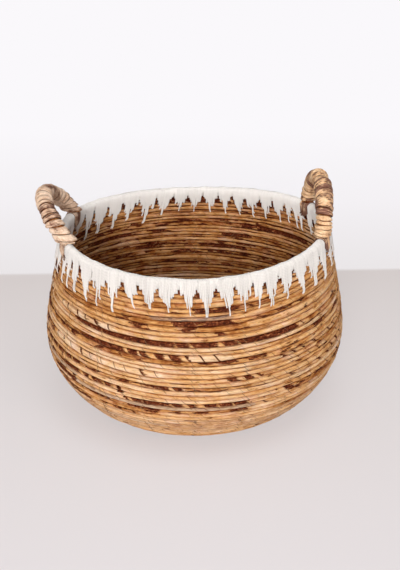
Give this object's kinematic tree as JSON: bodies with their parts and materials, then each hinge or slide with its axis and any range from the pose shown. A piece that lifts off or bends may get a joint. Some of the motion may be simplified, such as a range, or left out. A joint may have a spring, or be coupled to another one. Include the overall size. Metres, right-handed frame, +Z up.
{
  "type": "basket",
  "caption": "Round pot-bellied basket of coiled abaca rope with an open mouth, toothed cotton yarn whipping on the rim and two wrapped ear handles.",
  "frame": {"origin": "middle of the underside of the base, on the floor", "axes": "+Z up through the mouth, +X towards the upright handle, +Y away from the pictured front"},
  "size_m": [0.4024, 0.3999, 0.3088],
  "materials": {
    "abaca_rope": "strip-wound banana-fibre rope, half matt, golden brown with dark purple-brown strips",
    "cotton_yarn": "matt off-white cotton yarn, whipped side by side",
    "bark_strip": "pale dry bark strip, wrinkled, half matt",
    "golden_bark_strip": "golden bark strip with dark purple-brown lengths, wrinkled, half matt",
    "sewing_thread": "thin matt twisted thread"
  },
  "bodies": {
    "root": {"start_knot": "abaca_rope", "base_coil": "abaca_rope", "wall_rope_1": "abaca_rope", "wall_rope_2": "abaca_rope", "wall_rope_3": "abaca_rope", "rim_hoop": "abaca_rope", "yarn_front": "cotton_yarn", "yarn_right": "cotton_yarn", "yarn_back": "cotton_yarn", "yarn_left": "cotton_yarn", "lashing_left_front": "bark_strip", "lashing_right_front": "bark_strip", "lashing_right_back": "bark_strip", "lashing_left_back": "bark_strip", "handle_core_right": "abaca_rope", "handle_wrap_right": "golden_bark_strip", "handle_core_left": "abaca_rope", "handle_wrap_left": "bark_strip", "seam_01": "sewing_thread", "seam_02": "sewing_thread", "seam_03": "sewing_thread", "seam_04": "sewing_thread", "seam_05": "sewing_thread", "seam_06": "sewing_thread", "seam_07": "sewing_thread", "seam_08": "sewing_thread", "seam_09": "sewing_thread", "seam_10": "sewing_thread", "seam_11": "sewing_thread", "seam_12": "sewing_thread", "seam_13": "sewing_thread", "seam_14": "sewing_thread", "seam_15": "sewing_thread", "seam_16": "sewing_thread", "seam_17": "sewing_thread", "seam_18": "sewing_thread", "seam_19": "sewing_thread", "seam_20": "sewing_thread"}
  },
  "joints": []
}
